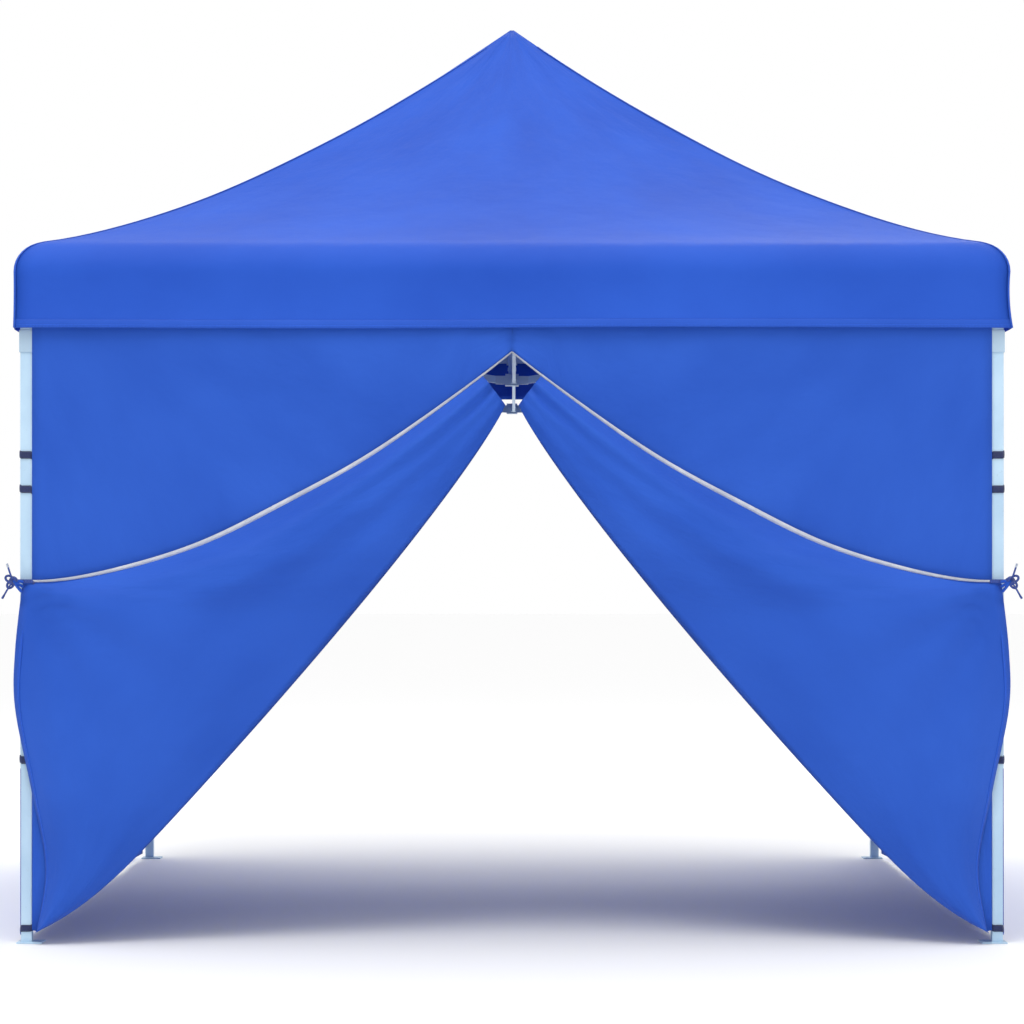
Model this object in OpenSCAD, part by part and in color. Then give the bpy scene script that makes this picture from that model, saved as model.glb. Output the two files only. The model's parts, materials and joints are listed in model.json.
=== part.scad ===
// Pop-up canopy: a square folding frame with scissor trusses, a peaked fabric
// roof with a valance, two plain side walls and a front wall with tied-back flaps.
// The frame is drawn open. The front side faces -Y and the floor is z = 0.

/* [Frame] */
// Distance between the centre lines of two neighbouring legs
leg_spacing = 2888; // [2880:1:2900]
// Height of the upper row of pivots above the floor
top_pivot_z = 1985; // [1980:1:1990]
// Height between the upper and lower rows of pivots when open
truss_depth = 195; // [190:1:200]
// Distance from a leg, hub or side joint centre to its bar pivots
pivot_reach = 45; // [44:1:48]

/* [Legs] */
// Outside width of the square upper leg
upper_leg_w = 35; // [34:0.5:36]
// Wall thickness of the leg tubes
leg_wall = 1.5; // [1.2:0.1:1.6]
// Height of the lower end of the upper leg
upper_leg_bottom = 520; // [510:1:530]
// Gap between the lower leg and the inside of the upper leg, on each side
leg_gap = 0.35; // [0.3:0.05:0.5]
// Length of the lower leg, from its foot plate
lower_leg_len = 800; // [760:1:850]
// Side of the square foot plate
foot_w = 75; // [70:1:80]
// Thickness of the foot plate
foot_t = 4; // [3:0.5:5]
// Radius of the stake hole in the foot plate
stake_r = 5; // [4:0.5:6]

/* [Truss bars] */
// Height of the bar section
bar_w = 25; // [22:1:26]
// Thickness of the bar section
bar_t = 12; // [11:0.5:12]
// Wall thickness of the bar tube
bar_wall = 1.2; // [1:0.1:1.5]
// Length of bar beyond each end pivot
bar_end = 14; // [13:1:14]
// Radius of the pivot pins
pin_r = 4; // [3.5:0.5:4.5]

/* [Roof] */
// Half width of the valance at its top
roof_half = 1476; // [1474:1:1480]
// Height of the roof peak
peak_z = 3010; // [3000:1:3020]
// Height at which the roof curve meets the rounded eave
eave_z = 2085; // [2080:1:2090]
// Height of the bottom of the valance
valance_z = 1831; // [1825:1:1835]
// Radius of the rounded eave
eave_r = 80; // [75:1:85]
// Thickness of the fabric
fabric_t = 1; // [0.8:0.1:1.2]

/* [Walls] */
// Half width of a wall, so that it hangs between two legs
wall_half = 1412; // [1405:1:1414]
// Distance from the centre of the canopy to a wall
wall_offset = 1466; // [1465:0.5:1467]
// Height of the bottom of the side walls
wall_bottom = 20; // [15:1:30]
// Height at which the two front flaps part
door_top_z = 1600; // [1580:5:1620]
// Height of the lower corner of each front flap
flap_bottom_z = 36; // [30:1:45]

/* [Hidden] */
$fn = 48;
SIDES = ["front", "right", "back", "left"];
CORNERS = ["front_left", "front_right", "back_right", "back_left"];

steel = [0.80, 0.86, 0.90];
plastic = [0.72, 0.80, 0.86];
cloth = [0.16, 0.33, 0.78];

leg_c = leg_spacing / 2;
bottom_pivot_z = top_pivot_z - truss_depth;
span = leg_c - 2 * pivot_reach;
bar_angle = atan(truss_depth / span);
bar_len = span / cos(bar_angle);
plane_off = bar_t / 2 + 1;
running = 0.05;
open_clear = 0.4;
slack = 0.3;
cheek_t = 4;
cheek_reach = pivot_reach + 12;
cheek_h = 28;
head_r = 7;
head_t = 2.4;
rivet_gap = 0.02;
spacer_t = 1.2;
spacer_gap = 0.2;
core_w = 46;
core_h = 40;
core_out = 17.3;
core_in = 20;
upper_leg_top = top_pivot_z + 45;
bracket_w = 41;
bracket_bottom = top_pivot_z - 55;
bracket_cap = 7;
bracket_bore = upper_leg_w + 0.2;
slider_w = 41;
slider_h = 65;
slider_bore = upper_leg_w + 1;
lower_leg_w = upper_leg_w - 2 * leg_wall - 2 * leg_gap;
foot_heel = 12;
stake_inset = 14;
pole_r = 12.5;
pole_wall = 1.2;
socket_depth = 14;
pole_top = peak_z - 22;
housing_r = 8.5;
housing_start = 24;
housing_end = 44;
pocket_start = 33;
button_r = 5.5;
button_travel = 4;
button_len = 12;
roof_power = 1.42;
roof_rings = 10;
roof_segs = 8;
eave_segs = 5;
edge_points = 20;
edge_flare = 0.065;
door_gap = 20;
zip_gap = 1;
wall_top_z = top_pivot_z + 5;
hub_clear = 0.5;

// A pivot pin along Y, with a head at each end. Its middle is at the origin.
module pin(length) {
    rotate([90, 0, 0]) cylinder(r = pin_r, h = length, center = true);
    for (side = [-1, 1])
        translate([0, side * (length / 2 + head_t / 2), 0])
            rotate([90, 0, 0]) cylinder(r = head_r, h = head_t, center = true);
}

// Two cheeks that hold a bar. The bar's thickness is along Y about y = 0, and the
// cheeks run from x = start to x = cheek_reach.
module cheeks(start) {
    for (side = [-1, 1])
        translate([start, side * (bar_t / 2 + slack + cheek_t / 2) - cheek_t / 2, -cheek_h / 2])
            cube([cheek_reach - start, cheek_t, cheek_h]);
}

module cheek_hole() {
    translate([pivot_reach, 0, 0])
        rotate([90, 0, 0])
            cylinder(r = pin_r + running / 2, h = bar_t + 2 * slack + 2 * cheek_t + 2, center = true);
}

module cheek_pin() {
    translate([pivot_reach, 0, 0]) pin(bar_t + 2 * slack + 2 * cheek_t + 2 * rivet_gap);
}

// A rectangular tube with a pivot hole at each end and one half way. It runs along +X.
module bar(near_r, middle_r, far_r) {
    difference() {
        translate([-bar_end, -bar_t / 2, -bar_w / 2]) cube([bar_len + 2 * bar_end, bar_t, bar_w]);
        translate([-bar_end - 1, -bar_t / 2 + bar_wall, -bar_w / 2 + bar_wall])
            cube([bar_len + 2 * bar_end + 2, bar_t - 2 * bar_wall, bar_w - 2 * bar_wall]);
        for (hole = [[0, near_r], [bar_len / 2, middle_r], [bar_len, far_r]])
            translate([hole[0], 0, 0])
                rotate([90, 0, 0]) cylinder(r = hole[1], h = bar_t + 2, center = true);
    }
}

// The rivet where two bars cross, with a spacer between them. The bar that holds it is
// about y = 0, and the other bar is about y = 2 * plane_off * side.
module cross_rivet(side) {
    reach = bar_t / 2 + slack;
    mid = side * plane_off;
    translate([0, mid, 0]) pin(2 * plane_off + 2 * reach);
    translate([0, side * (bar_t / 2 + spacer_gap + spacer_t / 2), 0])
        rotate([90, 0, 0])
            difference() {
                cylinder(r = head_r, h = spacer_t, center = true);
                cylinder(r = pin_r + running, h = spacer_t + 2, center = true);
            }
}

// The things below are drawn for the front side, and turned to the others.
module at_side(side_i) {
    rotate([0, 0, 90 * side_i]) children();
}

// A frame whose +X runs outwards along the rafter of the front side.
module outwards(x_off, radius, z) {
    translate([x_off, -radius, z]) rotate([0, 0, -90]) children();
}

module rafter_upper(side_i) {
    color(steel) at_side(side_i)
        outwards(-plane_off, pivot_reach, top_pivot_z)
            rotate([0, bar_angle, 0]) {
                bar(pin_r + running, pin_r + running / 2, pin_r + running);
                translate([bar_len / 2, 0, 0]) cross_rivet(1);
            }
}

module rafter_lower(side_i) {
    color(steel) at_side(side_i)
        outwards(plane_off, pivot_reach, bottom_pivot_z)
            rotate([0, -bar_angle, 0])
                bar(pin_r + (side_i == 0 ? running : open_clear), pin_r + running, pin_r + running);
}

// One half of a side is drawn towards +X, and mirrored for the half towards -X.
module half_side(side_i, hand) {
    at_side(side_i) mirror([hand < 0 ? 1 : 0, 0, 0]) children();
}

// The bar that falls from the upper side joint to the leg's slider.
module fall_bar(side_i, hand) {
    owned = side_i % 2 == 0;
    color(steel) half_side(side_i, hand)
        translate([pivot_reach, plane_off - leg_c, top_pivot_z])
            rotate([0, bar_angle, 0]) {
                bar(pin_r + running, pin_r + running / 2, pin_r + (owned ? running : open_clear));
                translate([bar_len / 2, 0, 0]) cross_rivet(-1);
            }
}

// The bar that rises from the lower side joint to the leg's corner bracket.
module rise_bar(side_i, hand) {
    owned = side_i % 2 == 0;
    color(steel) half_side(side_i, hand)
        translate([pivot_reach, -plane_off - leg_c, bottom_pivot_z])
            rotate([0, -bar_angle, 0])
                bar(pin_r + running, pin_r + open_clear, pin_r + (owned ? running : open_clear));
}

// A side joint: a moulded core with a fork for each half of its side and one for the
// rafter. plane is -1 for the outer bar plane and 1 for the inner one.
module side_joint(side_i, z, plane) {
    color(plastic) at_side(side_i) translate([0, -leg_c, z]) {
        difference() {
            union() {
                translate([-core_w / 2 + 2, -core_out, -core_h / 2])
                    cube([core_w - 4, core_out + core_in, core_h]);
                for (hand = [0, 1])
                    mirror([hand, 0, 0]) translate([0, plane * plane_off, 0]) cheeks(core_w / 2 - 3);
                translate([plane * plane_off, 0, 0]) rotate([0, 0, 90]) cheeks(core_w / 2 - 5);
            }
            for (hand = [0, 1])
                mirror([hand, 0, 0]) translate([0, plane * plane_off, 0]) cheek_hole();
            translate([plane * plane_off, 0, 0]) rotate([0, 0, 90]) cheek_hole();
        }
    }
    color(steel) at_side(side_i) translate([0, -leg_c, z]) {
        for (hand = [0, 1])
            mirror([hand, 0, 0]) translate([0, plane * plane_off, 0]) cheek_pin();
        translate([plane * plane_off, 0, 0]) rotate([0, 0, 90]) cheek_pin();
    }
}

// A hub with a fork for each of the four rafters and a bore for the peak pole, which
// reaches bore_depth below the pivots.
module hub(z, plane, bore_r, bore_depth) {
    color(plastic) translate([0, 0, z])
        difference() {
            union() {
                translate([-core_w / 2, -core_w / 2, -core_h / 2]) cube([core_w, core_w, core_h]);
                for (side_i = [0:3])
                    at_side(side_i) outwards(plane * plane_off, 0, 0) cheeks(core_w / 2 - 1);
            }
            translate([0, 0, -bore_depth]) cylinder(r = bore_r, h = bore_depth + core_h);
            for (side_i = [0:3])
                at_side(side_i) outwards(plane * plane_off, 0, 0) cheek_hole();
        }
    color(steel) translate([0, 0, z])
        for (side_i = [0:3])
            at_side(side_i) outwards(plane * plane_off, 0, 0) cheek_pin();
}

module peak_hub() {
    hub(top_pivot_z, -1, pole_r + hub_clear, core_h);
}

// The lower hub has a blind socket that the pole stands in.
module lower_hub() {
    hub(bottom_pivot_z, 1, pole_r + running, socket_depth);
}

module peak_pole() {
    bottom = bottom_pivot_z - socket_depth + slack;
    color(steel) difference() {
        translate([0, 0, bottom]) cylinder(r = pole_r, h = pole_top - bottom);
        translate([0, 0, bottom - 1]) cylinder(r = pole_r - pole_wall, h = pole_top - bottom + 2);
    }
    color(plastic) translate([0, 0, pole_top])
        rotate_extrude()
            polygon([[0, 0], [pole_r + 1, 0], [pole_r + 3, 2], [pole_r + 1, 6], [6, 11], [0, 12]]);
}

// Legs are drawn at the corner at -X and -Y, and turned to the others.
module at_corner(corner_i) {
    at_side(corner_i) translate([-leg_c, -leg_c, 0]) children();
}

module square_tube(outer, wall, bottom, top) {
    difference() {
        translate([-outer / 2, -outer / 2, bottom]) cube([outer, outer, top - bottom]);
        translate([wall - outer / 2, wall - outer / 2, bottom - 1])
            cube([outer - 2 * wall, outer - 2 * wall, top - bottom + 2]);
    }
}

module upper_leg(corner_i) {
    color(steel) at_corner(corner_i)
        square_tube(upper_leg_w, leg_wall, upper_leg_bottom, upper_leg_top);
}

// Both forks of a corner piece: one along +X, and its mirror image along +Y.
module both_forks(plane, z) {
    for (turned = [0, 1])
        mirror([turned, -turned, 0]) translate([0, plane * plane_off, z]) children();
}

module corner_bracket(corner_i) {
    top = upper_leg_top + bracket_cap;
    color(plastic) at_corner(corner_i)
        difference() {
            union() {
                translate([-bracket_w / 2, -bracket_w / 2, bracket_bottom])
                    cube([bracket_w, bracket_w, top - bracket_bottom]);
                both_forks(-1, top_pivot_z) cheeks(bracket_w / 2 - 1);
            }
            translate([-bracket_bore / 2, -bracket_bore / 2, bracket_bottom - 1])
                cube([bracket_bore, bracket_bore, upper_leg_top - bracket_bottom + 1 + running]);
            both_forks(-1, top_pivot_z) cheek_hole();
        }
    color(steel) at_corner(corner_i) both_forks(-1, top_pivot_z) cheek_pin();
}

module leg_slider(corner_i) {
    color(plastic) at_corner(corner_i)
        difference() {
            union() {
                translate([-slider_w / 2, -slider_w / 2, bottom_pivot_z - slider_h / 2])
                    cube([slider_w, slider_w, slider_h]);
                translate([0, 0, bottom_pivot_z]) towards_centre()
                    translate([0, 0, housing_start])
                        cylinder(r = housing_r, h = housing_end - housing_start);
                both_forks(1, bottom_pivot_z) cheeks(slider_w / 2 - 1);
            }
            translate([-slider_bore / 2, -slider_bore / 2, bottom_pivot_z - slider_h])
                cube([slider_bore, slider_bore, 2 * slider_h]);
            translate([0, 0, bottom_pivot_z]) towards_centre()
                translate([0, 0, pocket_start]) cylinder(r = button_r + running, h = 20);
            both_forks(1, bottom_pivot_z) cheek_hole();
        }
    color(steel) at_corner(corner_i) both_forks(1, bottom_pivot_z) cheek_pin();
}

// A frame whose +Z runs from a leg's centre line towards the middle of the canopy.
module towards_centre() {
    rotate([90, 0, 135]) children();
}

// The thumb button that frees the slider. It is pressed towards the leg.
module slider_button(corner_i) {
    color([0.15, 0.16, 0.18]) at_corner(corner_i) translate([0, 0, bottom_pivot_z])
        towards_centre() translate([0, 0, pocket_start + button_travel + 1])
            rotate_extrude()
                polygon([[0, 0], [button_r, 0], [button_r, button_len - 2],
                    [button_r - 2, button_len], [0, button_len]]);
}

module lower_leg(corner_i) {
    foot_shift = (foot_w - lower_leg_w) / 2 - foot_heel;
    stake = foot_shift + foot_w / 2 - stake_inset;
    color(steel) at_corner(corner_i) {
        square_tube(lower_leg_w, leg_wall, foot_t, foot_t + lower_leg_len);
        difference() {
            translate([foot_shift - foot_w / 2, foot_shift - foot_w / 2, 0])
                cube([foot_w, foot_w, foot_t]);
            translate([stake, stake, -1]) cylinder(r = stake_r, h = foot_t + 2);
        }
    }
}

// Height of the roof at share s of the way from its centre to its edge.
function roof_z(s) = eave_z + (peak_z - eave_z) * pow(1 - s, roof_power);

// The roof's profile from just off the peak to the bottom of the valance, as
// [distance from the centre, height], moved inwards by t.
function roof_profile(t) = concat(
    [for (i = [0:roof_rings])
        let (s = i / roof_rings * (1 - eave_r / roof_half))
        [s * roof_half, roof_z(s) - t]],
    [for (i = [1:eave_segs])
        let (a = 90 * i / eave_segs, edge = roof_z(1 - eave_r / roof_half))
        [roof_half - eave_r + (eave_r - t) * sin(a), edge - eave_r + (eave_r - t) * cos(a)]],
    [[roof_half - t, valance_z]]
);

// A square ring at one profile point, with points along each side.
function square_ring(p) = [for (side_i = [0:3]) for (k = [0:roof_segs - 1])
    let (u = 2 * k / roof_segs - 1, a = 90 * side_i)
    [p[0] * (u * cos(a) + sin(a)), p[0] * (u * sin(a) - cos(a)), p[1]]];

module canopy_top() {
    outer = roof_profile(0);
    inner = roof_profile(fabric_t);
    count = len(outer);
    around = 4 * roof_segs;
    rings = concat([for (i = [1:count - 1]) outer[i]], [for (i = [count - 1:-1:1]) inner[i]]);
    points = concat([[0, 0, outer[0][1]]], [for (p = rings) each square_ring(p)],
        [[0, 0, inner[0][1]]]);
    last = len(points) - 1;
    strips = [for (r = [0:len(rings) - 2]) for (k = [0:around - 1])
        let (a = 1 + r * around + k, b = 1 + r * around + (k + 1) % around)
        each [[a, b, b + around], [a, b + around, a + around]]];
    top = [for (k = [0:around - 1]) [0, 1 + (k + 1) % around, 1 + k]];
    low = [for (k = [0:around - 1])
        let (base = 1 + (len(rings) - 1) * around)
        [last, base + k, base + (k + 1) % around]];
    color(cloth) polyhedron(points, [for (f = concat(top, strips, low)) [f[2], f[1], f[0]]]);
}

// The front wall's open edge, from the peak of the doorway to the foot of the leg. It
// is given as [x, z] at share u of the way down, on the half towards +X. It runs nearly
// straight, and turns outwards in its last stretch.
function flap_edge(u) = [
    door_gap + (wall_half - door_gap) * ((1 - edge_flare) * pow(u, 1.14) + edge_flare * pow(u, 20)),
    door_top_z + (flap_bottom_z - door_top_z) * u
];

module front_wall_half(hand) {
    edge = [for (i = [0:edge_points]) flap_edge(i / edge_points)];
    color(cloth) mirror([hand < 0 ? 1 : 0, 0, 0])
        translate([0, -wall_offset, 0]) rotate([90, 0, 0])
            linear_extrude(fabric_t)
                polygon(concat([[zip_gap, door_top_z]], edge,
                    [[wall_half, wall_top_z], [zip_gap, wall_top_z]]));
}

module front_wall_left() {
    front_wall_half(-1);
}

module front_wall_right() {
    front_wall_half(1);
}

module side_wall(hand) {
    color(cloth) mirror([hand < 0 ? 1 : 0, 0, 0])
        translate([wall_offset, -wall_half, wall_bottom])
            cube([fabric_t, 2 * wall_half, wall_top_z - wall_bottom]);
}

peak_hub();
lower_hub();
peak_pole();
for (i = [0:3]) {
    rafter_upper(i);
    rafter_lower(i);
    side_joint(i, top_pivot_z, 1);
    side_joint(i, bottom_pivot_z, -1);
    fall_bar(i, -1);
    fall_bar(i, 1);
    rise_bar(i, -1);
    rise_bar(i, 1);
    upper_leg(i);
    corner_bracket(i);
    leg_slider(i);
    lower_leg(i);
    slider_button(i);
}
canopy_top();
front_wall_left();
front_wall_right();
side_wall(-1);  // side_wall_left
side_wall(1);  // side_wall_right
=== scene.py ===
import json
import math

import bmesh
import bpy
from mathutils import Matrix, Vector

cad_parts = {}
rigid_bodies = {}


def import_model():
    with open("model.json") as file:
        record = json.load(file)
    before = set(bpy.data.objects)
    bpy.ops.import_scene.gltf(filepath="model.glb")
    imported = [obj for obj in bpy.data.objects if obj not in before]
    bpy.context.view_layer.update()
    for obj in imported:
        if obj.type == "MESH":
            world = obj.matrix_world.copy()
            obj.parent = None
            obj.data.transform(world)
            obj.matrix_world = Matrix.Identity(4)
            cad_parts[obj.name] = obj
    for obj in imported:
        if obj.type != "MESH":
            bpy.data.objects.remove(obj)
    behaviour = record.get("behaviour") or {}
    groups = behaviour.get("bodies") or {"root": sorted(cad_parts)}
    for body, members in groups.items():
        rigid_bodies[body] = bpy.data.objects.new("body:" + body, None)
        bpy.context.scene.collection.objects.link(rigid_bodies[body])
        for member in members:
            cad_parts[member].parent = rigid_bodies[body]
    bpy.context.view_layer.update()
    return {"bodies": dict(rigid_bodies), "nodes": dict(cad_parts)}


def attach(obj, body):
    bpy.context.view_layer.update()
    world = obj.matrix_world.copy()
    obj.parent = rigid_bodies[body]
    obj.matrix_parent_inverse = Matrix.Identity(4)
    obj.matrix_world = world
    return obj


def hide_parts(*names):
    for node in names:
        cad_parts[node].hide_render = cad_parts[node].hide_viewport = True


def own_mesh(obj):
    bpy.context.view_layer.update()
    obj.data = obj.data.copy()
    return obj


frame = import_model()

# The frame, as in the CAD.
LEG = 1.444                 # a leg's centre line, from the middle
LEG_W = 0.035
LOWER_LEG_W = 0.0313
TOP_PIVOT_Z = 1.985
LOW_PIVOT_Z = 1.790
PIVOT_REACH = 0.045         # from a hub, joint or leg to its bars' pivots
PLANE = 0.007               # from a truss's middle plane to each bar
BAR_END = 0.014             # from a bar's end pivot to the middle of its plug
PLUG = (0.0040, 0.0117, 0.0247)

# Cloth.
CLOTH_T = 0.0009
HEM_T = 0.0006
HEM = 0.026

# The roof.
ROOF_HALF = 1.476
PEAK_Z = 3.012
EAVE_Z = 2.080
EAVE_R = 0.100
EAVE_TILT = math.radians(14.3)   # the roof's slope where it meets the rounded eave
ROOF_POWER = 1.42           # how hollow the roof's slope is
ROOF_SLACK = 0.011          # how far a side sinks between its hips
PEAK_PLEAT = 0.006
HIP_PUCKER = 0.0012
VALANCE_Z = 1.829
VALANCE_FLARE = 0.008
VALANCE_WAVE = 0.0045
VALANCE_TUCK = 0.0040       # how far the valance draws in half way down
POLE_DROP_FROM = 2.080      # below this the roof doesn't come down with the pole
DIAGONAL = 0.7071           # each part of a unit vector at 45 degrees

# The walls.
WALL_OFF = 1.4665           # a wall's plane, from the middle
WALL_HALF = 1.412
FRONT_HALF = 1.426          # the front wall laps just past the legs' inner faces
WALL_TOP = 1.990
WALL_BOTTOM = 0.020
FRONT_WAVE = 0.0014
SIDE_WAVE = 0.0042
SIDE_AIR = 0.0085           # how far a side wall stands off its plane
SIDE_FLAT_FROM = VALANCE_Z - 0.030   # above this a side wall lies flat, clear of the valance
SIDE_EASE = 0.12            # the height over which it goes from flat to standing out

# The front wall's flaps. A flap runs from its fold (v = 0) to its free edge (v = 1),
# and from the apex (w = 0) to its foot (w = 1).
APEX_Z = 1.757              # where the two zip tapes meet
DOOR_TOP_Z = 1.600
FLAP_FOOT_Z = 0.036
FLAP_FRONT = 0.008          # how far the flap's edges stand in front of the wall
FLAP_BULGE = 0.082
CREST = 0.60                # where across the flap it stands out furthest
GATHER = 0.017              # depth of the creases that run to the tie
TAPE_END = 1.400            # where the zip edge stops falling
TAPE_FALL = 0.680
NOSE_X = 0.088              # the zip edge's first stretch, before the flap folds back
NOSE_W = 0.0752
TIE_W = 0.40
TIE = (1.452, 1.077)
# The flap's free edge below its tie, as (distance from the middle, height).
LOOSE_EDGE = [TIE, (1.475, 0.87), (1.475, 0.70), (1.427, 0.46), (1.385, 0.23), (1.410, FLAP_FOOT_Z)]

# Straps and ties.
STRAP_Z = [1.452, 1.350, 0.545]
STRAP_H = 0.022
FOOT_STRAP_Z = 0.045
FOOT_STRAP_H = 0.020
STRAP_GAP = 0.0016          # from a leg's face to the middle of its strap
KNOT_X = 1.476
KNOT_FRONT = 0.030          # how far the knot stands in front of the wall's plane
TAIL_R = 0.0028
TIP_LENGTH = 0.012

# Light and camera.
FLOOR_HALF = 400
FLOOR_GREY = 0.97
SKY_LOW = 0.22              # light from near the floor, and from overhead
SKY_HIGH = 1.33
LIGHTS = (                  # name, place, what it points at, size, power
    ("key", (-1.2, -4.5, 8.5), (0, 0, 1.3), 3.5, 220),
    ("fill", (6.0, -6.5, 3.5), (0, 0, 1.3), 4.0, 20),
    ("back", (1.5, 6.5, 7.0), (1.5, 6.4, 0), 4.0, 150))
CAMERA_PLACE = (0, -9.976, 1.0)
CAMERA_LENS = 100.7
CAMERA_SENSOR = 36
CAMERA_SHIFT = 0.0928


# ---------------------------------------------------------------- materials

THREAD_PITCH = 0.0016       # of the cloth's weave
STITCHES_PER_METRE = 240.0
STITCH_SHARE = 0.62         # how much of its pitch a stitch fills
STITCH_ROWS = (0.004, 0.0085)
THREAD_HALF = 0.0006
TOOTH_PITCH = 0.0032
RIB_PITCH = 0.0024
TWILL_PITCH = 0.0026


def linear(r, g, b):
    """An 8-bit display colour as a linear one."""
    def one(c):
        c = c / 255
        return c / 12.92 if c <= 0.04045 else ((c + 0.055) / 1.055) ** 2.4
    return (one(r), one(g), one(b), 1.0)


class Look:
    """A material under construction, with short ways to add and join nodes."""

    def __init__(self, name, roughness, sheen=0.0, metallic=0.0, coat=0.0):
        self.material = bpy.data.materials.new(name)
        self.material.use_nodes = True
        self.nodes = self.material.node_tree.nodes
        self.links = self.material.node_tree.links
        self.shader = self.nodes["Principled BSDF"]
        self.shader.inputs["Roughness"].default_value = roughness
        self.shader.inputs["Metallic"].default_value = metallic
        self.shader.inputs["Sheen Weight"].default_value = sheen
        self.shader.inputs["Coat Weight"].default_value = coat
        self.height = None

    def add(self, kind, **values):
        node = self.nodes.new(kind)
        for key, value in values.items():
            setattr(node, key, value)
        return node

    def join(self, out, into):
        self.links.new(out, into)

    def math(self, operation, a, b=None):
        node = self.add("ShaderNodeMath", operation=operation)
        for socket, value in zip(node.inputs, (a, b)):
            if value is None:
                continue
            if isinstance(value, (int, float)):
                socket.default_value = value
            else:
                self.join(value, socket)
        return node.outputs[0]

    def where(self, kind):
        return self.add("ShaderNodeTexCoord").outputs[kind]

    def noise(self, where, scale, detail=3.0):
        node = self.add("ShaderNodeTexNoise")
        node.inputs["Scale"].default_value = scale
        node.inputs["Detail"].default_value = detail
        self.join(where, node.inputs["Vector"])
        return node.outputs["Fac"]

    def ramp(self, fac, low, high, start=0.3, end=0.7):
        node = self.add("ShaderNodeValToRGB")
        node.color_ramp.elements[0].position = start
        node.color_ramp.elements[0].color = low
        node.color_ramp.elements[1].position = end
        node.color_ramp.elements[1].color = high
        self.join(fac, node.inputs["Fac"])
        return node.outputs["Color"]

    def mix(self, fac, a, b):
        node = self.add("ShaderNodeMix", data_type="RGBA")
        for socket, value in ((node.inputs[0], fac), (node.inputs[6], a), (node.inputs[7], b)):
            if isinstance(value, (int, float, tuple)):
                socket.default_value = value
            else:
                self.join(value, socket)
        return node.outputs[2]

    def bump(self, height, distance, strength=1.0):
        node = self.add("ShaderNodeBump")
        node.inputs["Distance"].default_value = distance
        node.inputs["Strength"].default_value = strength
        self.join(height, node.inputs["Height"])
        if self.height is not None:
            self.join(self.height, node.inputs["Normal"])
        self.height = node.outputs["Normal"]

    def colour(self, socket):
        self.join(socket, self.shader.inputs["Base Color"])

    def rough(self, fac, low, high):
        node = self.add("ShaderNodeMapRange")
        node.inputs["To Min"].default_value = low
        node.inputs["To Max"].default_value = high
        self.join(fac, node.inputs["Value"])
        self.join(node.outputs["Result"], self.shader.inputs["Roughness"])

    def done(self):
        if self.height is not None:
            self.join(self.height, self.shader.inputs["Normal"])
        return self.material


def weave(look, uv, pitch, depth):
    """Threads of a plain weave: warp and weft waves that cross."""
    parts = look.add("ShaderNodeSeparateXYZ")
    look.join(uv, parts.inputs[0])
    turns = 2 * math.pi / pitch
    warp = look.math("SINE", look.math("MULTIPLY", parts.outputs[0], turns))
    weft = look.math("SINE", look.math("MULTIPLY", parts.outputs[1], turns))
    crossed = look.math("MULTIPLY", warp, weft)
    look.bump(crossed, depth, 0.6)
    return crossed


def cloth_look(name, dark, light, stitched=False):
    """Coated polyester: weave, soft creases, uneven dye and a little sheen."""
    look = Look(name, 0.62, sheen=0.04)
    look.shader.inputs["Specular IOR Level"].default_value = 0.22
    uv = look.where("UV")
    cloudy = look.noise(uv, 1.7, 4.0)
    colour = look.ramp(cloudy, dark, light)
    fine = look.noise(uv, 260.0, 2.0)
    thread = weave(look, uv, THREAD_PITCH, 0.00012)
    darker = tuple(0.82 * c for c in dark[:3]) + (1.0,)
    colour = look.mix(look.math("MULTIPLY", fine, 0.22), colour, darker)
    colour = look.mix(look.math("MULTIPLY", look.math("ABSOLUTE", thread), 0.10), colour, darker)
    look.bump(look.noise(uv, 5.5, 3.0), 0.010, 0.55)
    look.bump(look.noise(uv, 34.0, 4.0), 0.0012, 0.45)
    if stitched:
        stitch = stitches(look, uv)
        colour = look.mix(stitch, colour, tuple(min(1.0, 1.55 * c) for c in light[:3]) + (1.0,))
        look.bump(stitch, 0.0007)
    look.colour(colour)
    look.rough(cloudy, 0.55, 0.70)
    return look.done()


def stitches(look, uv):
    """Two dashed rows along a band whose V runs over its width, in metres."""
    parts = look.add("ShaderNodeSeparateXYZ")
    look.join(uv, parts.inputs[0])
    along = look.math("FRACT", look.math("MULTIPLY", parts.outputs[0], STITCHES_PER_METRE))
    dash = look.math("LESS_THAN", along, STITCH_SHARE)
    rows = None
    for offset in STITCH_ROWS:
        away = look.math("ABSOLUTE", look.math("SUBTRACT", parts.outputs[1], offset))
        near = look.math("LESS_THAN", away, THREAD_HALF)
        rows = near if rows is None else look.math("MAXIMUM", rows, near)
    return look.math("MULTIPLY", rows, dash)


def tape_look():
    """Pale woven zip tape with its row of teeth."""
    look = Look("zip_tape", 0.7, sheen=0.15)
    uv = look.where("UV")
    parts = look.add("ShaderNodeSeparateXYZ")
    look.join(uv, parts.inputs[0])
    teeth = look.math("SINE", look.math("MULTIPLY", parts.outputs[0], 2 * math.pi / TOOTH_PITCH))
    rib = look.math("SINE", look.math("MULTIPLY", parts.outputs[1], 2 * math.pi / RIB_PITCH))
    look.bump(teeth, 0.0004)
    look.bump(rib, 0.0003)
    worn = look.noise(uv, 14.0)
    colour = look.ramp(worn, linear(206, 212, 226), linear(240, 243, 250))
    look.colour(look.mix(look.math("MULTIPLY", look.math("ABSOLUTE", teeth), 0.18),
                         colour, linear(150, 164, 196)))
    return look.done()


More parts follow.
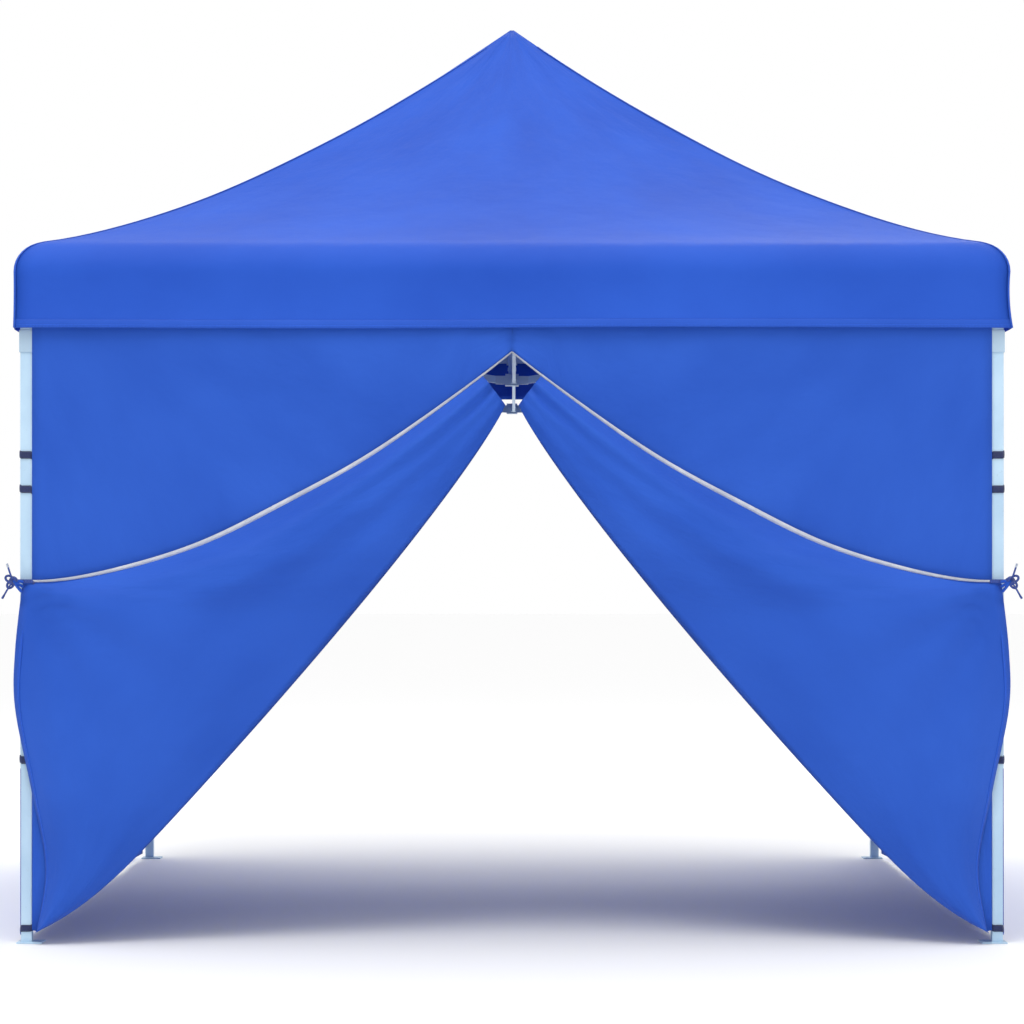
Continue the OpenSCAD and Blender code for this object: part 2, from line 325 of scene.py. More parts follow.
def webbing_look(name, dark, light):
    """Narrow webbing with a coarse twill."""
    look = Look(name, 0.8, sheen=0.25)
    where = look.where("Object")
    parts = look.add("ShaderNodeSeparateXYZ")
    look.join(where, parts.inputs[0])
    slope = look.math("ADD", parts.outputs[2], look.math("ADD", parts.outputs[0], parts.outputs[1]))
    twill = look.math("SINE", look.math("MULTIPLY", slope, 2 * math.pi / TWILL_PITCH))
    look.bump(twill, 0.0005)
    fluff = look.noise(where, 320.0, 2.0)
    look.bump(fluff, 0.0004, 0.5)
    look.colour(look.ramp(fluff, dark, light))
    return look.done()


def coat_look(name, dark, light, roughness, grain, scratch):
    """Powder coat or moulded plastic: fine grain, handling marks and uneven gloss."""
    look = Look(name, roughness, coat=0.08)
    where = look.where("Object")
    patches = look.noise(where, 7.0, 5.0)
    colour = look.ramp(patches, dark, light, 0.25, 0.75)
    marks = look.add("ShaderNodeTexNoise")
    marks.inputs["Scale"].default_value = 46.0
    marks.inputs["Detail"].default_value = 8.0
    marks.inputs["Distortion"].default_value = 1.6
    look.join(where, marks.inputs["Vector"])
    worn = look.math("GREATER_THAN", marks.outputs["Fac"], 0.69)
    darker = tuple(0.72 * c for c in dark[:3]) + (1.0,)
    look.colour(look.mix(look.math("MULTIPLY", worn, scratch), colour, darker))
    look.bump(look.noise(where, 900.0, 2.0), grain, 0.5)
    look.rough(patches, roughness - 0.08, roughness + 0.10)
    return look.done()


ROOF_LOOK = cloth_look("roof_cloth", linear(27, 79, 190), linear(39, 92, 206))
WALL_LOOK = cloth_look("wall_cloth", linear(32, 83, 190), linear(46, 98, 208))
HEM_LOOK = cloth_look("hem_cloth", linear(30, 80, 188), linear(43, 93, 204), stitched=True)
TAPE_LOOK = tape_look()
STRAP_LOOK = webbing_look("strap_webbing", linear(20, 34, 82), linear(38, 54, 112))
TIE_LOOK = webbing_look("tie_cloth", linear(34, 58, 134), linear(56, 90, 186))
TIP_LOOK = webbing_look("tie_tip", linear(176, 190, 214), linear(214, 224, 240))
STEEL_LOOK = coat_look("frame_coat", linear(176, 207, 232), linear(198, 226, 246),
                       0.38, 0.0001, 0.25)
JOINT_LOOK = coat_look("joint_moulding", linear(168, 194, 216), linear(190, 214, 232),
                       0.52, 0.0003, 0.18)
BUTTON_LOOK = coat_look("button_moulding", linear(34, 38, 46), linear(52, 58, 68),
                        0.45, 0.0002, 0.3)
CAP_LOOK = coat_look("plug_moulding", linear(120, 138, 160), linear(146, 164, 186),
                     0.5, 0.0003, 0.2)


# ---------------------------------------------------------------- meshes

def distance_along(points):
    """Distance from the first point to each one, along the line through them."""
    total = [0.0]
    for a, b in zip(points, points[1:]):
        total.append(total[-1] + (Vector(b) - Vector(a)).length)
    return total


def new_piece(name, data):
    """A new object in the scene, showing the data."""
    piece = bpy.data.objects.new(name, data)
    bpy.context.scene.collection.objects.link(piece)
    return piece


def quads(row_count, count, closed):
    """The faces between rows of points. A closed row's last point joins its first."""
    faces = []
    for r in range(row_count - 1):
        low, high = r * count, (r + 1) * count
        for k in range(count if closed else count - 1):
            after = (k + 1) % count
            faces.append((low + k, low + after, high + after, high + k))
    return faces


def lay_uv(mesh, rows, closed):
    """UV in metres of cloth, along the longest row and up the rows' middle."""
    count = len(rows[0])
    longest = max(rows, key=lambda row: distance_along(row)[-1])
    along = distance_along(longest + longest[:1] if closed else longest)
    across = distance_along([row[count // 2] for row in rows])
    layer = mesh.uv_layers.new(name="UVMap")
    for face in mesh.polygons:
        columns = {mesh.loops[i].vertex_index % count for i in face.loop_indices}
        wraps = closed and {0, count - 1} <= columns
        for i in face.loop_indices:
            row, column = divmod(mesh.loops[i].vertex_index, count)
            u = along[count] if wraps and column == 0 else along[column]
            layer.data[i].uv = (u, across[row])


def mesh_of(name, rows, look, closed=False):
    """A smooth surface through rows of points."""
    mesh = bpy.data.meshes.new(name)
    points = [tuple(p) for row in rows for p in row]
    mesh.from_pydata(points, [], quads(len(rows), len(rows[0]), closed))
    lay_uv(mesh, rows, closed)
    for face in mesh.polygons:
        face.use_smooth = True
    mesh.materials.append(look)
    return new_piece(name, mesh)


def thicken(piece, thickness=CLOTH_T):
    solid = piece.modifiers.new("thickness", "SOLIDIFY")
    solid.thickness = thickness
    solid.offset = 0.0
    return piece


def ribbon(name, centres, across, out, width, look, closed=False, lift=0.0014, steps=4):
    """A crowned band along centres; across and out give its width's and face's direction."""
    rows = []
    for step in range(steps + 1):
        share = step / steps
        crown = lift * (0.25 + 0.75 * math.sin(math.pi * share))
        rows.append([Vector(c) + Vector(a) * (share - 0.5) * width + Vector(o) * crown
                     for c, a, o in zip(centres, across, out)])
    return mesh_of(name, rows, look, closed)


def sewn_band(name, centres, across, out, width, lift):
    """A hem: a stitched band that lies on the cloth."""
    return thicken(ribbon(name, centres, across, out, width, HEM_LOOK, lift=lift), HEM_T)


def box_mesh(name, size, place, look, bevel=0.0015):
    """A small block with rounded edges; place is its 4x4 matrix."""
    x, y, z = (s / 2 for s in size)
    corners = [(sx * x, sy * y, sz * z) for sx in (-1, 1) for sy in (-1, 1) for sz in (-1, 1)]
    faces = [(0, 1, 3, 2), (4, 6, 7, 5), (0, 4, 5, 1), (2, 3, 7, 6), (0, 2, 6, 4), (1, 5, 7, 3)]
    mesh = bpy.data.meshes.new(name)
    mesh.from_pydata([tuple(place @ Vector(c)) for c in corners], [], faces)
    mesh.materials.append(look)
    piece = new_piece(name, mesh)
    edge = piece.modifiers.new("edge", "BEVEL")
    edge.width = bevel
    edge.segments = 3
    return piece


def fit(pieces, body):
    """Each piece rides on the body."""
    for piece in pieces:
        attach(piece, body)


# ---------------------------------------------------------------- roof

RINGS = 34
EAVE_STEPS = 8
VALANCE_STEPS = 10
PER_SIDE = 56


def roof_height(s):
    return EAVE_Z + (PEAK_Z - EAVE_Z) * (1 - s) ** ROOF_POWER


def roof_profile():
    """(distance from the middle, height, share of the way down the valance)."""
    flat = 1 - EAVE_R * (1 - math.sin(EAVE_TILT)) / ROOF_HALF
    low = roof_height(flat) - EAVE_R * math.cos(EAVE_TILT)
    points = []
    for i in range(RINGS + 1):
        s = 0.004 + (flat - 0.004) * i / RINGS
        points.append((s * ROOF_HALF, roof_height(s), 0.0))
    for i in range(1, EAVE_STEPS + 1):
        a = EAVE_TILT + (math.pi / 2 - EAVE_TILT) * i / EAVE_STEPS
        points.append((ROOF_HALF - EAVE_R + EAVE_R * math.sin(a), low + EAVE_R * math.cos(a), 0.0))
    top = points[-1][1]
    for i in range(1, VALANCE_STEPS + 1):
        t = i / VALANCE_STEPS
        points.append((ROOF_HALF, top + (VALANCE_Z - top) * t, t))
    return points


def side_turn(side):
    return Matrix.Rotation(side * math.pi / 2, 3, "Z")


def roof_point(radius, height, fall, side, u):
    """A point of the roof on one side, with u from -1 to 1 along it."""
    s = radius / ROOF_HALF
    x = u * radius
    slack = (1 - u * u) * math.sin(math.pi * min(1.0, s)) if fall == 0 else 0.0
    z = height - ROOF_SLACK * slack
    pleat = math.exp(-5 * s) * math.sin(math.pi * min(1, s * 4))
    z += PEAK_PLEAT * pleat * math.cos(9 * u + side)
    corner = abs(u) ** 6 * math.sin(math.pi * s)
    z += HIP_PUCKER * corner * math.sin(17 * s + 2 * side)
    wave = math.sin(5.1 * u + 1.7 * side) + 0.6 * math.sin(11.3 * u + 0.8 * side)
    wave += 0.3 * math.sin(23 * u)
    out = radius + VALANCE_WAVE * wave * fall * (1 - u ** 8)
    out += VALANCE_FLARE * fall * fall - VALANCE_TUCK * fall * (1 - fall) * 4
    z += 0.0025 * fall * math.sin(3.2 * u + side) * (1 - u * u)
    return side_turn(side) @ Vector((x, -out, z))


def around():
    """The (side, u) of each point on a ring of the roof."""
    return [(side, 2 * k / PER_SIDE - 1) for side in range(4) for k in range(PER_SIDE)]


def fold_as_roof(piece):
    """Hooks draw the roof in along Y and down as the frame folds."""
    groups = {name: piece.vertex_groups.new(name=name) for name in ("front", "back", "down")}
    for vertex in piece.data.vertices:
        y, z = vertex.co.y, vertex.co.z
        share = min(1.0, abs(y) / LEG)
        groups["front" if y < 0 else "back"].add([vertex.index], share, "REPLACE")
        down = min(1.0, max(0.0, (z - POLE_DROP_FROM) / (PEAK_Z - POLE_DROP_FROM)))
        groups["down"].add([vertex.index], down, "REPLACE")
    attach(piece, "peak_hub")
    for group, body in (("front", "side_top_joint_front"), ("back", "side_top_joint_back"),
                        ("down", "peak_pole")):
        empty = frame["bodies"][body]
        hook = piece.modifiers.new("fold_" + group, "HOOK")
        hook.object = empty
        hook.vertex_group = group
        hook.falloff_type = "NONE"
        hook.center = (0, 0, 0)
        hook.matrix_inverse = empty.matrix_world.inverted() @ piece.matrix_world
    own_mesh(piece)
    return piece


def make_roof():
    rows = [[roof_point(r, z, t, side, u) for side, u in around()] for r, z, t in roof_profile()]
    roof = fold_as_roof(mesh_of("roof_cover", rows, ROOF_LOOK, closed=True))
    thicken(roof)
    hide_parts("canopy_top")
    trims = [make_valance_hem()] + [make_hip_seam(side) for side in range(4)]
    for trim in trims:
        fold_as_roof(trim)
        thicken(trim, HEM_T)


def make_valance_hem():
    """The stitched band round the valance's lower edge."""
    profile = roof_profile()
    top = profile[-VALANCE_STEPS - 1][1]
    rows = []
    for step in range(5):
        z = VALANCE_Z - 0.001 + HEM * step / 4
        t = (top - z) / (top - VALANCE_Z)
        crown = 0.0010 + 0.0012 * math.sin(math.pi * step / 4)
        rows.append([roof_point(ROOF_HALF + crown, z, min(1.0, t), side, u) for side, u in around()])
    return mesh_of("valance_hem", rows, HEM_LOOK, closed=True)


def make_hip_seam(side):
    """The seam down one hip, from the peak to the corner of the valance."""
    points = [roof_point(r, z, t, side, -1.0) for r, z, t in roof_profile()][2:]
    turn = side_turn(side)
    across = [turn @ Vector((DIAGONAL, -DIAGONAL, 0.0))] * len(points)
    out = [turn @ Vector((-0.45, -0.45, 0.77))] * (RINGS - 1)
    out += [turn @ Vector((-DIAGONAL, -DIAGONAL, 0.0))] * (len(points) - len(out))
    return ribbon(f"hip_seam_{side + 1}", points, across, out, 0.010, HEM_LOOK, lift=0.0012)


# ---------------------------------------------------------------- front wall

W_STEPS = 64
FLAP_STEPS = 30
WALL_STEPS = 22
HEADER_SHARE = 0.42         # how much of the wall's outer edge is its header
TAPE_STEPS = 90
HEM_STEPS = 59


def fold_edge(w):
    """Where the flap is folded outwards, as (distance from the middle, height)."""
    return (0.02 + 1.30 * w ** 1.14 + 0.09 * w ** 20, DOOR_TOP_Z + (FLAP_FOOT_Z - DOOR_TOP_Z) * w)


def tape_height(dx):
    """Height of the zip edge, which hangs in a curve and isn't quite even."""
    uneven = 0.004 * math.sin(11 * dx + 0.5) * math.sin(math.pi * min(1.0, dx / TIE[0])) ** 2
    return APEX_Z - TAPE_FALL * (1 - max(0.0, 1 - dx / TAPE_END) ** 1.65) + uneven


def through(points, t):
    """A smooth curve through the points, at t from 0 to 1."""
    place = min(t * (len(points) - 1), len(points) - 1.0001)
    i = int(place)
    f = place - i
    p = [Vector(points[max(0, min(len(points) - 1, i + k))]) for k in (-1, 0, 1, 2)]
    bend = 2 * p[0] - 5 * p[1] + 4 * p[2] - p[3]
    twist = 3 * p[1] - p[0] - 3 * p[2] + p[3]
    return 0.5 * (2 * p[1] + (p[2] - p[0]) * f + bend * f * f + twist * f ** 3)


def free_edge(w):
    """The flap's zip edge, down to its tie and then to its foot."""
    if w < TIE_W:
        dx = NOSE_X + (TIE[0] - NOSE_X) * (w / TIE_W)
        return (dx, tape_height(dx))
    return tuple(through(LOOSE_EDGE, (w - TIE_W) / (1 - TIE_W)))


def flap_depth(w, v, x, z):
    """How far the folded flap stands in front of the wall's plane."""
    rise = v / CREST if v < CREST else (1 - v) / (1 - CREST)
    fullness = min(1.0, 0.34 + 2.4 * w) * (1 - 0.6 * w ** 4)
    swell = FLAP_BULGE * math.sin(math.pi / 2 * rise) ** 0.9 * fullness
    calm = math.sin(math.pi * v) * (1 - w ** 2)
    drape = 0.010 * math.sin(2 * math.pi * (1.5 * v + 1.1 * w)) * calm
    drape += 0.005 * math.sin(2 * math.pi * (3.1 * v - 0.7 * w)) * calm
    away = math.hypot(x - TIE[0], z - TIE[1])
    angle = math.atan2(z - TIE[1], TIE[0] - x + 0.001)
    pull = math.exp(-away / 0.30) * (1 - math.exp(-away / 0.03))
    gather = GATHER * pull * math.sin(13 * angle)
    flatten = 1 - 0.6 * math.exp(-away / 0.10)
    return FLAP_FRONT + max(0.0, (swell + drape) * flatten + gather * math.sin(math.pi * v) ** 0.3)


def flap_point(hand, w, v):
    """A point of the flap, w of the way down it and v of the way across it."""
    a, b = fold_edge(w), free_edge(w)
    x = a[0] + (b[0] - a[0]) * v
    z = a[1] + (b[1] - a[1]) * v - 0.020 * math.sin(math.pi * v) * math.sin(math.pi * w)
    return Vector((hand * x, -WALL_OFF - flap_depth(w, v, x, z), z))


def wall_edge():
    """The back layer's lower edge: the tape line, a short drop, then the fold."""
    points = [(NOSE_X * i / 4, tape_height(NOSE_X * i / 4)) for i in range(4)]
    start, end = (NOSE_X, tape_height(NOSE_X)), fold_edge(NOSE_W)
    points += [(start[0], start[1] + (end[1] - start[1]) * i / 4) for i in range(4)]
    return points + [fold_edge(NOSE_W + (1 - NOSE_W) * i / W_STEPS) for i in range(W_STEPS + 1)]


def wall_outer(share):
    """The back layer's outer edge: along its header, then down beside the leg."""
    if share < HEADER_SHARE:
        return (FRONT_HALF * share / HEADER_SHARE, WALL_TOP)
    t = (share - HEADER_SHARE) / (1 - HEADER_SHARE)
    return (FRONT_HALF, WALL_TOP + (FLAP_FOOT_Z + 0.004 - WALL_TOP) * t)


def hanging_wave(along, height, size):
    """Soft upright folds that grow towards the floor."""
    grow = 0.25 + 0.75 * (1 - height / WALL_TOP)
    folds = math.sin(6.3 * along) + 0.5 * math.sin(14.0 * along + 1) + 0.3 * math.sin(2.1 * height)
    return size * grow * folds


def outer_shares(count):
    """How far along its outer edge each of the back layer's columns starts."""
    corner = round(HEADER_SHARE * (count - 1))
    shares = [HEADER_SHARE * i / corner for i in range(corner + 1)]
    beside = count - 1 - corner
    return shares + [HEADER_SHARE + (1 - HEADER_SHARE) * i / beside for i in range(1, beside + 1)]


def back_layer_rows(hand):
    """The wall behind the flap, in rows from its outer edge to the zip and the fold."""
    edge = wall_edge()
    outer = [wall_outer(share) for share in outer_shares(len(edge))]
    rows = []
    for step in range(WALL_STEPS + 1):
        v = step / WALL_STEPS
        row = []
        for (ox, oz), (ex, ez) in zip(outer, edge):
            x, z = ox + (ex - ox) * v, oz + (ez - oz) * v
            y = -WALL_OFF - FLAP_FRONT * v ** 6 + hanging_wave(x, z, FRONT_WAVE) * math.sin(math.pi * v)
            row.append(Vector((hand * x, y, z)))
        rows.append(row)
    return rows


def flap_rows(hand):
    """The flap folded outwards, in rows from its fold to its free edge."""
    downs = [NOSE_W * i / 6 for i in range(6)]
    downs += [NOSE_W + (1 - NOSE_W) * i / W_STEPS for i in range(W_STEPS + 1)]
    return [[flap_point(hand, w, k / FLAP_STEPS) for w in downs] for k in range(FLAP_STEPS + 1)]


def make_front_wall(hand, name):
    wall = mesh_of(name, back_layer_rows(hand), WALL_LOOK)
    flap = mesh_of(name + "_flap", flap_rows(hand), WALL_LOOK)
    return thicken(join([wall, flap], name))


def join(parts, name):
    """One mesh from several, welded where they meet."""
    with bpy.context.temp_override(active_object=parts[0], selected_editable_objects=parts):
        bpy.ops.object.join()
    whole = parts[0]
    whole.name = name
    edit = bmesh.new()
    edit.from_mesh(whole.data)
    bmesh.ops.remove_doubles(edit, verts=edit.verts, dist=0.0004)
    edit.to_mesh(whole.data)
    edit.free()
    return whole


def ride_front(piece, side_name):
    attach(piece, f"upper_leg_front_{side_name}")
    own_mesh(piece)


def tape_slope(dx):
    """Slope of the zip edge. It is level where it meets the tie."""
    if dx >= TAPE_END - 0.003:
        return 0.0
    step = 0.002
    return (tape_height(dx + step) - tape_height(dx - step)) / (2 * step)


def make_zip_tape(hand, side_name):
    """The pale tape along the flap's zip edge, widest half way."""
    inner, outer, middle = [], [], []
    for i in range(TAPE_STEPS + 1):
        dx = TIE[0] * i / TAPE_STEPS
        z = tape_height(dx)
        w = max(0.0, (dx - NOSE_X) / (TIE[0] - NOSE_X) * TIE_W)
        depth = flap_depth(w, 0.985, dx, z) if dx > NOSE_X else FLAP_FRONT
        half = 0.0016 + 0.0058 * math.sin(math.pi * min(1.0, 0.02 + 0.92 * dx / TIE[0]))
        slope = tape_slope(dx)
        length = math.hypot(1, slope)
        side = (-slope / length, 1 / length)
        front = -WALL_OFF - depth - 0.0030
        middle.append(Vector((hand * dx, front - 0.0012, z)))
        inner.append(Vector((hand * (dx - side[0] * half), front, z - side[1] * half)))
        outer.append(Vector((hand * (dx + side[0] * half), front, z + side[1] * half)))
    return thicken(mesh_of(f"zip_tape_{side_name}", [inner, middle, outer], TAPE_LOOK), 0.0012)


def make_flap_hem(hand, side_name):
    """The sewn hem of the flap's free edge, from below the tie nearly to its foot."""
    centres, across = [], []
    start, end, v = TIE_W + 0.05, 0.985, 0.985
    for i in range(HEM_STEPS + 1):
        w = start + (end - start) * i / HEM_STEPS
        here, there = flap_point(hand, w, v), flap_point(hand, w, v - 0.03)
        centres.append(here + (there - here).normalized() * 0.004)
        across.append((here - there).normalized() * min(1.0, 0.15 + i / 7))
    out = [Vector((0, -1, 0))] * len(centres)
    return sewn_band(f"flap_hem_{side_name}", centres, across, out, 0.012, 0.0022)


def make_front_walls():
    for hand, side_name in ((-1, "left"), (1, "right")):
        wall = make_front_wall(hand, f"front_curtain_{side_name}")
        trims = [make_zip_tape(hand, side_name), make_flap_hem(hand, side_name)]
        for piece in [wall] + trims:
            ride_front(piece, side_name)
        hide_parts(f"front_wall_{side_name}")


# ---------------------------------------------------------------- side walls

SIDE_COLUMNS = 90
SIDE_LEVELS = 40
SIDE_HEM_LIFT = 0.0026


def side_point(hand, along, z):
    """A point of a side wall, which stands out between its legs and is flat under the valance."""
    between = 1 - (along / WALL_HALF) ** 6
    out = SIDE_AIR * (0.25 + 0.75 * between) + hanging_wave(along + hand, z, SIDE_WAVE) * between
    free = min(1.0, max(0.0, (SIDE_FLAT_FROM - z) / SIDE_EASE))
    return Vector((hand * (WALL_OFF + out * free * free * (3 - 2 * free)), along, z))


def side_columns():
    return [-WALL_HALF + 2 * WALL_HALF * i / SIDE_COLUMNS for i in range(SIDE_COLUMNS + 1)]


def side_levels():
    return [WALL_BOTTOM + (WALL_TOP - WALL_BOTTOM) * k / SIDE_LEVELS for k in range(SIDE_LEVELS + 1)]


def side_hem(hand, name, line, across):
    """A hem of a side wall, along the line and facing outwards."""
    count = len(line)
    out = Vector((hand, 0, 0))
    return sewn_band(name, line, [Vector(across)] * count, [out] * count, HEM, SIDE_HEM_LIFT)


def make_side_trims(hand, side_name):
    """The hem along the floor, and those beside the two legs."""
    line = [side_point(hand, y, WALL_BOTTOM + HEM / 2) for y in side_columns()]
    trims = [side_hem(hand, f"side_hem_{side_name}", line, (0, 0, 1))]
    for end, word in ((-1, "front"), (1, "back")):
        line = [side_point(hand, end * (WALL_HALF - HEM / 2), z) for z in side_levels()]
        trims.append(side_hem(hand, f"side_edge_{word}_{side_name}", line, (0, 1, 0)))
    return trims


def make_side_walls():
    for hand, side_name in ((-1, "left"), (1, "right")):
        rows = [[side_point(hand, y, z) for y in side_columns()] for z in side_levels()]
        wall = thicken(mesh_of(f"side_curtain_{side_name}", rows, WALL_LOOK))
        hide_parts(f"side_wall_{side_name}")
        trims = make_side_trims(hand, side_name)
        front, back = f"upper_leg_front_{side_name}", f"upper_leg_back_{side_name}"
        fit([wall] + trims, front)
        for piece in [wall] + trims:
            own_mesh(piece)


# ---------------------------------------------------------------- straps and ties

def band_round(name, centre, half, height, look, tilt=0.0, sag=0.0):
    """Webbing wrapped round a square tube, with rounded corners."""
    radius, points, outs = 0.006, [], []
    for corner in range(4):
        turn = Matrix.Rotation(corner * math.pi / 2, 3, "Z")
        middle = Vector(centre) + turn @ Vector((half - radius, half - radius, 0))
        for k in range(7):
            a = math.pi / 2 * (corner + k / 6)
            out = Vector((math.cos(a), math.sin(a), 0))
            lift = Vector((0, 0, tilt * out.x + sag * math.sin(2 * a)))
            points.append(middle + out * radius + lift)
            outs.append(out)
    up = [Vector((0, 0, 1))] * len(points)
    return thicken(ribbon(name, points, up, outs, height, look, closed=True, lift=0.0012), 0.0016)


def tube(name, points, radius, look):
    curve = bpy.data.curves.new(name, "CURVE")
    curve.dimensions = "3D"
    curve.bevel_depth = radius
    curve.bevel_resolution = 4
    curve.use_fill_caps = True
    spline = curve.splines.new("POLY")
    spline.points.add(len(points) - 1)
    for target, p in zip(spline.points, points):
        target.co = (*p, 1.0)
    curve.materials.append(look)
    return new_piece(name, curve)


def tie_loop(hand, knot, lean):
    """The points of one loop of the bow, which leans up or down from the knot."""
    points = []
    for i in range(33):
        t = 2 * math.pi * i / 32
        reach = 0.0125 * (1 - math.cos(t))
        wide = 0.0085 * math.sin(t)
        across = hand * (reach * math.cos(lean) - wide * math.sin(lean))
        up = reach * math.sin(lean) + wide * math.cos(lean)
        points.append(knot + Vector((across, -0.004 * math.sin(t / 2), up)))
    return points


def make_bow(hand, side_name, knot, body):
    """Two loops and the knot that holds them."""
    pieces = [tube(f"tie_loop_{n}_{side_name}", tie_loop(hand, knot, lean), 0.0036, TIE_LOOK)
              for n, lean in ((1, 0.5), (2, -0.9))]
    rounds = []
    for i in range(25):
        a = 2 * math.pi * i / 24
        rounds.append(knot + Vector((0.0095 * math.cos(a) * hand, 0.006 * math.sin(2 * a),
                                     0.0095 * math.sin(a))))
    pieces.append(tube(f"tie_knot_{side_name}", rounds, 0.0050, TIE_LOOK))
    fit(pieces, body)


def make_tie_tails(hand, side_name, knot, body):
    """Two short tails with their tips. The upper tip is pale, the lower one blue."""
    for n, (lean, rise, look) in enumerate(((0.012, 0.034, TIP_LOOK), (0.022, -0.036, TIE_LOOK))):
        start = knot + Vector((hand * lean * 0.2, -0.005, 0.006 if rise > 0 else -0.006))
        path = [start + Vector((hand * lean * t, -0.004 * math.sin(3 * t), rise * t))
                for t in (i / 16 for i in range(17))]
        tail = tube(f"tie_tail_{n + 1}_{side_name}", path, TAIL_R, TIE_LOOK)
        end = path[-1] + Vector((hand * lean, 0, rise)).normalized() * TIP_LENGTH
        tip = tube(f"tie_tip_{n + 1}_{side_name}", [path[-1], end], 0.0034, look)
        fit((tail, tip), body)


def make_tie_pleats(hand, side_name, knot, body):
    """The cloth's folds that run into the knot."""
    for n, drop in enumerate((-0.002, -0.016, -0.030)):
        start = Vector((hand * (1.448 + 0.004 * n), -WALL_OFF - 0.013, TIE[1] + drop))
        path = [start.lerp(knot, i / 12) + Vector((0, -0.007 * math.sin(math.pi * i / 12), 0))
                for i in range(13)]
        fit([tube(f"tie_pleat_{n + 1}_{side_name}", path, 0.0046, WALL_LOOK)], body)


def make_straps(hand, side_name, upper, lower):
    """The straps round one front leg, and the band of the tie."""
    for n, z in enumerate(STRAP_Z):
        band = band_round(f"strap_{n + 1}_{side_name}", (hand * LEG, -LEG, z), LEG_W / 2 + STRAP_GAP,
                          STRAP_H, STRAP_LOOK, tilt=0.003 * hand, sag=0.001 * n)
        fit([band], upper)
    band = band_round(f"strap_foot_{side_name}", (hand * LEG, -LEG, FOOT_STRAP_Z),
                      LOWER_LEG_W / 2 + STRAP_GAP, FOOT_STRAP_H, STRAP_LOOK, tilt=-0.002 * hand)
    fit([band], lower)
    band = band_round(f"tie_band_{side_name}", (hand * (LEG + 0.004), -LEG - 0.010, TIE[1]),
                      LEG_W / 2 + 0.013, 0.010, TIE_LOOK, tilt=0.004 * hand, sag=0.002)
    fit([band], upper)


def make_straps_and_ties():
    for hand, side_name in ((-1, "left"), (1, "right")):
        upper, lower = f"upper_leg_front_{side_name}", f"lower_leg_front_{side_name}"
        knot = Vector((hand * KNOT_X, -WALL_OFF - KNOT_FRONT, TIE[1]))
        make_straps(hand, side_name, upper, lower)
        make_bow(hand, side_name, knot, upper)
        make_tie_tails(hand, side_name, knot, upper)
        make_tie_pleats(hand, side_name, knot, upper)


# ---------------------------------------------------------------- frame

def bar_frames():
    """(node, matrix, direction along local X) of each truss bar, from its first pivot."""
    tilt = math.atan((TOP_PIVOT_Z - LOW_PIVOT_Z) / (LEG - 2 * PIVOT_REACH))
    down = (PLANE, TOP_PIVOT_Z, tilt)
    up = (PLANE, LOW_PIVOT_Z, -tilt)
    frames = []
    for index, side in enumerate(("front", "right", "back", "left")):
        turn = Matrix.Rotation(index * math.pi / 2, 4, "Z")
        for word, sign, (plane, z, lean) in (("upper", -1, down), ("lower", 1, up)):
            place = turn @ Matrix.Translation((sign * plane, -PIVOT_REACH, z))
            place = place @ Matrix.Rotation(-math.pi / 2, 4, "Z") @ Matrix.Rotation(lean, 4, "Y")
            frames.append((f"rafter_{word}_{side}", place, 1))
        for hand, letter in ((-1, "a"), (1, "b")):
            for word, sign, (plane, z, lean) in (("fall", 1, down), ("rise", -1, up)):
                place = turn @ Matrix.Translation((hand * PIVOT_REACH, sign * plane - LEG, z))
                place = place @ Matrix.Rotation(hand * lean, 4, "Y")
                frames.append((f"{word}_bar_{side}_{letter}", place, hand))
    return frames


def make_bar_plugs():
    """A moulded plug in each open end of each bar."""
    span = LEG - 2 * PIVOT_REACH
    length = math.hypot(span, TOP_PIVOT_Z - LOW_PIVOT_Z)
    for node, place, hand in bar_frames():
        for end, x in (("near", -BAR_END), ("far", length + BAR_END)):
            middle = place @ Matrix.Translation((hand * x, 0, 0))
            fit([box_mesh(f"{node}_plug_{end}", PLUG, middle, CAP_LOOK)], node)


def kind_of(name):
    """What a CAD node is made of, from the words of its name."""
    words = set(name.split("_"))
    if "button" in words:
        return "button"
    return "plastic" if {"joint", "hub", "bracket", "slider"} & words else "steel"


def paint_frame():
    """Materials and softened edges for the CAD's own pieces."""
    looks = {"steel": STEEL_LOOK, "plastic": JOINT_LOOK, "button": BUTTON_LOOK}
    for name, node in frame["nodes"].items():
        kind = kind_of(name)
        for index in range(len(node.material_slots)):
            steel_part = kind == "plastic" and index > 0
            node.material_slots[index].material = looks["steel" if steel_part else kind]
        if not node.hide_render:
            edge = node.modifiers.new("edge", "BEVEL")
            edge.width = 0.0007
            edge.segments = 2
            edge.limit_method = "ANGLE"
            edge.angle_limit = math.radians(50)


# ---------------------------------------------------------------- stage

def make_floor():
    a = FLOOR_HALF
    mesh = bpy.data.meshes.new("studio_floor")
    mesh.from_pydata([(-a, -a, 0), (a, -a, 0), (a, a, 0), (-a, a, 0)], [], [(0, 1, 2, 3)])
    look = Look("studio_floor", 0.9)
    look.shader.inputs["Base Color"].default_value = (FLOOR_GREY, FLOOR_GREY, FLOOR_GREY, 1.0)
    mesh.materials.append(look.done())
    floor = new_piece("studio_floor", mesh)
    floor.location.z = -0.0006


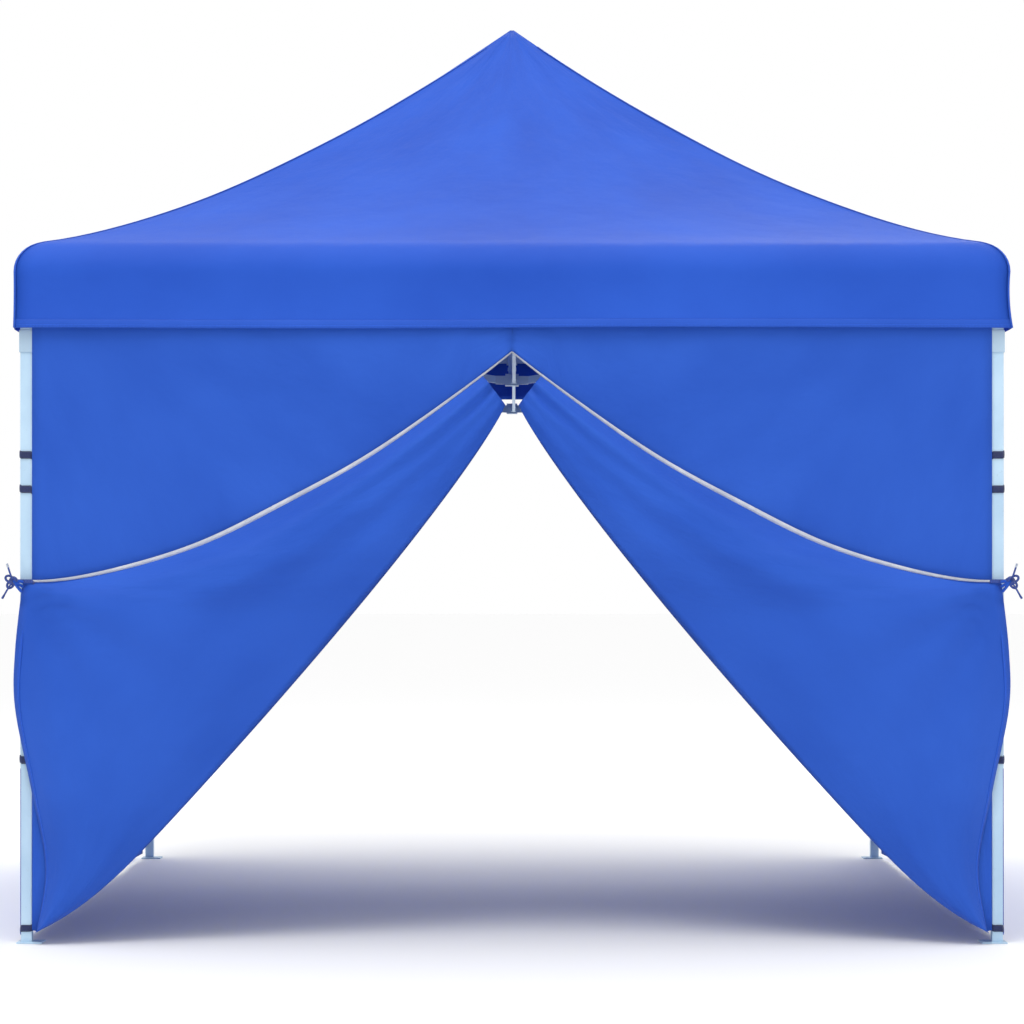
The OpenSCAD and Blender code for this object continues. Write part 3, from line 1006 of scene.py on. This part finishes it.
def make_sky():
    """White to the camera, and a soft light that is stronger from overhead."""
    world = bpy.data.worlds.new("studio")
    bpy.context.scene.world = world
    world.use_nodes = True
    nodes, links = world.node_tree.nodes, world.node_tree.links
    soft = nodes["Background"]
    where = nodes.new("ShaderNodeTexCoord")
    parts = nodes.new("ShaderNodeSeparateXYZ")
    links.new(where.outputs["Generated"], parts.inputs[0])
    sky = nodes.new("ShaderNodeMapRange")
    sky.inputs["From Min"].default_value = -0.2
    sky.inputs["To Min"].default_value = SKY_LOW
    sky.inputs["To Max"].default_value = SKY_HIGH
    links.new(parts.outputs[2], sky.inputs["Value"])
    links.new(sky.outputs["Result"], soft.inputs["Strength"])
    soft.inputs["Color"].default_value = (1.0, 1.0, 1.0, 1.0)
    seen = nodes.new("ShaderNodeBackground")
    seen.inputs["Strength"].default_value = 1.0
    seen.inputs["Color"].default_value = (1.0, 1.0, 1.0, 1.0)
    path = nodes.new("ShaderNodeLightPath")
    mixed = nodes.new("ShaderNodeMixShader")
    links.new(path.outputs["Is Camera Ray"], mixed.inputs[0])
    links.new(soft.outputs[0], mixed.inputs[1])
    links.new(seen.outputs[0], mixed.inputs[2])
    links.new(mixed.outputs[0], nodes["World Output"].inputs["Surface"])


def make_lights():
    for name, place, aim, size, power in LIGHTS:
        light = bpy.data.lights.new(name, "AREA")
        light.size = size
        light.energy = power
        lamp = new_piece(name, light)
        lamp.location = place
        lamp.rotation_euler = (Vector(aim) - Vector(place)).to_track_quat("-Z", "Y").to_euler()


def make_camera():
    data = bpy.data.cameras.new("camera")
    data.lens = CAMERA_LENS
    data.sensor_width = CAMERA_SENSOR
    data.shift_y = CAMERA_SHIFT
    camera = new_piece("camera", data)
    camera.location = CAMERA_PLACE
    camera.rotation_euler = (math.pi / 2, 0, 0)
    bpy.context.scene.camera = camera


make_camera()
bpy.context.view_layer.update()
bpy.context.scene.view_settings.view_transform = "Standard"
make_roof()
make_front_walls()
make_side_walls()
make_straps_and_ties()
make_bar_plugs()
paint_frame()
make_floor()
make_sky()
make_lights()
bpy.context.view_layer.update()
